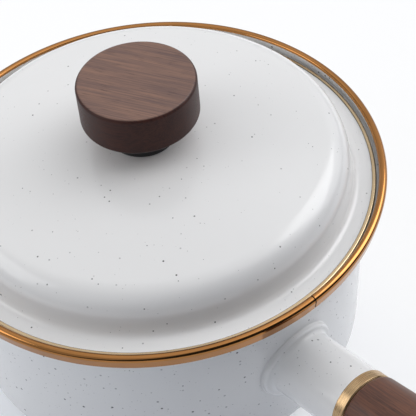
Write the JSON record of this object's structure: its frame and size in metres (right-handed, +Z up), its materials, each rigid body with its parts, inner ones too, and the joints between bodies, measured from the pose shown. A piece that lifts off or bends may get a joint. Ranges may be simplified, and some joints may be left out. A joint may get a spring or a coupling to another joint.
{
  "type": "saucepan with lid",
  "caption": "Enamelled steel saucepan with a gilt rim, a hollow socket that carries a turned walnut grip, and an opaque enamelled lift-off lid with a walnut knob, for heating food on a stove.",
  "frame": {"origin": "centre of the flat underside of the pot, on the surface it stands on", "axes": "+Z up along the pot's axis, +X out along the handle"},
  "size_m": [0.352, 0.1914, 0.1369],
  "materials": {
    "enamel": "glossy white vitreous enamel with fine grey specks",
    "gilt_strip": "polished gold-coloured steel strip",
    "ferrule_brass": "brushed brass",
    "walnut": "oiled, fine straight grain",
    "dark_neck": "matt black",
    "steel": "plain bright steel",
    "gasket_rubber": "matt silicone"
  },
  "bodies": {
    "pot": {"pot_shell": "enamel", "rim_band": "gilt_strip", "handle_socket": "enamel", "socket_anchor": "steel", "handle_ferrule": "ferrule_brass", "handle_grip": "walnut", "bolt_washer": "steel", "spring_washer": "steel", "handle_bolt": "steel"},
    "lid": {"lid_shell": "enamel", "lid_edge_band": "gilt_strip", "knob_gasket": "gasket_rubber", "knob_neck": "dark_neck", "lid_knob": "walnut", "knob_insert": "ferrule_brass", "lid_gasket": "gasket_rubber", "lid_washer": "steel", "knob_screw": "steel"}
  },
  "joints": [
    {"name": "lid_lift", "type": "slide", "parent": "pot", "child": "lid", "axis": [0, 0, 1], "range_m": [0, 0.12]}
  ]
}
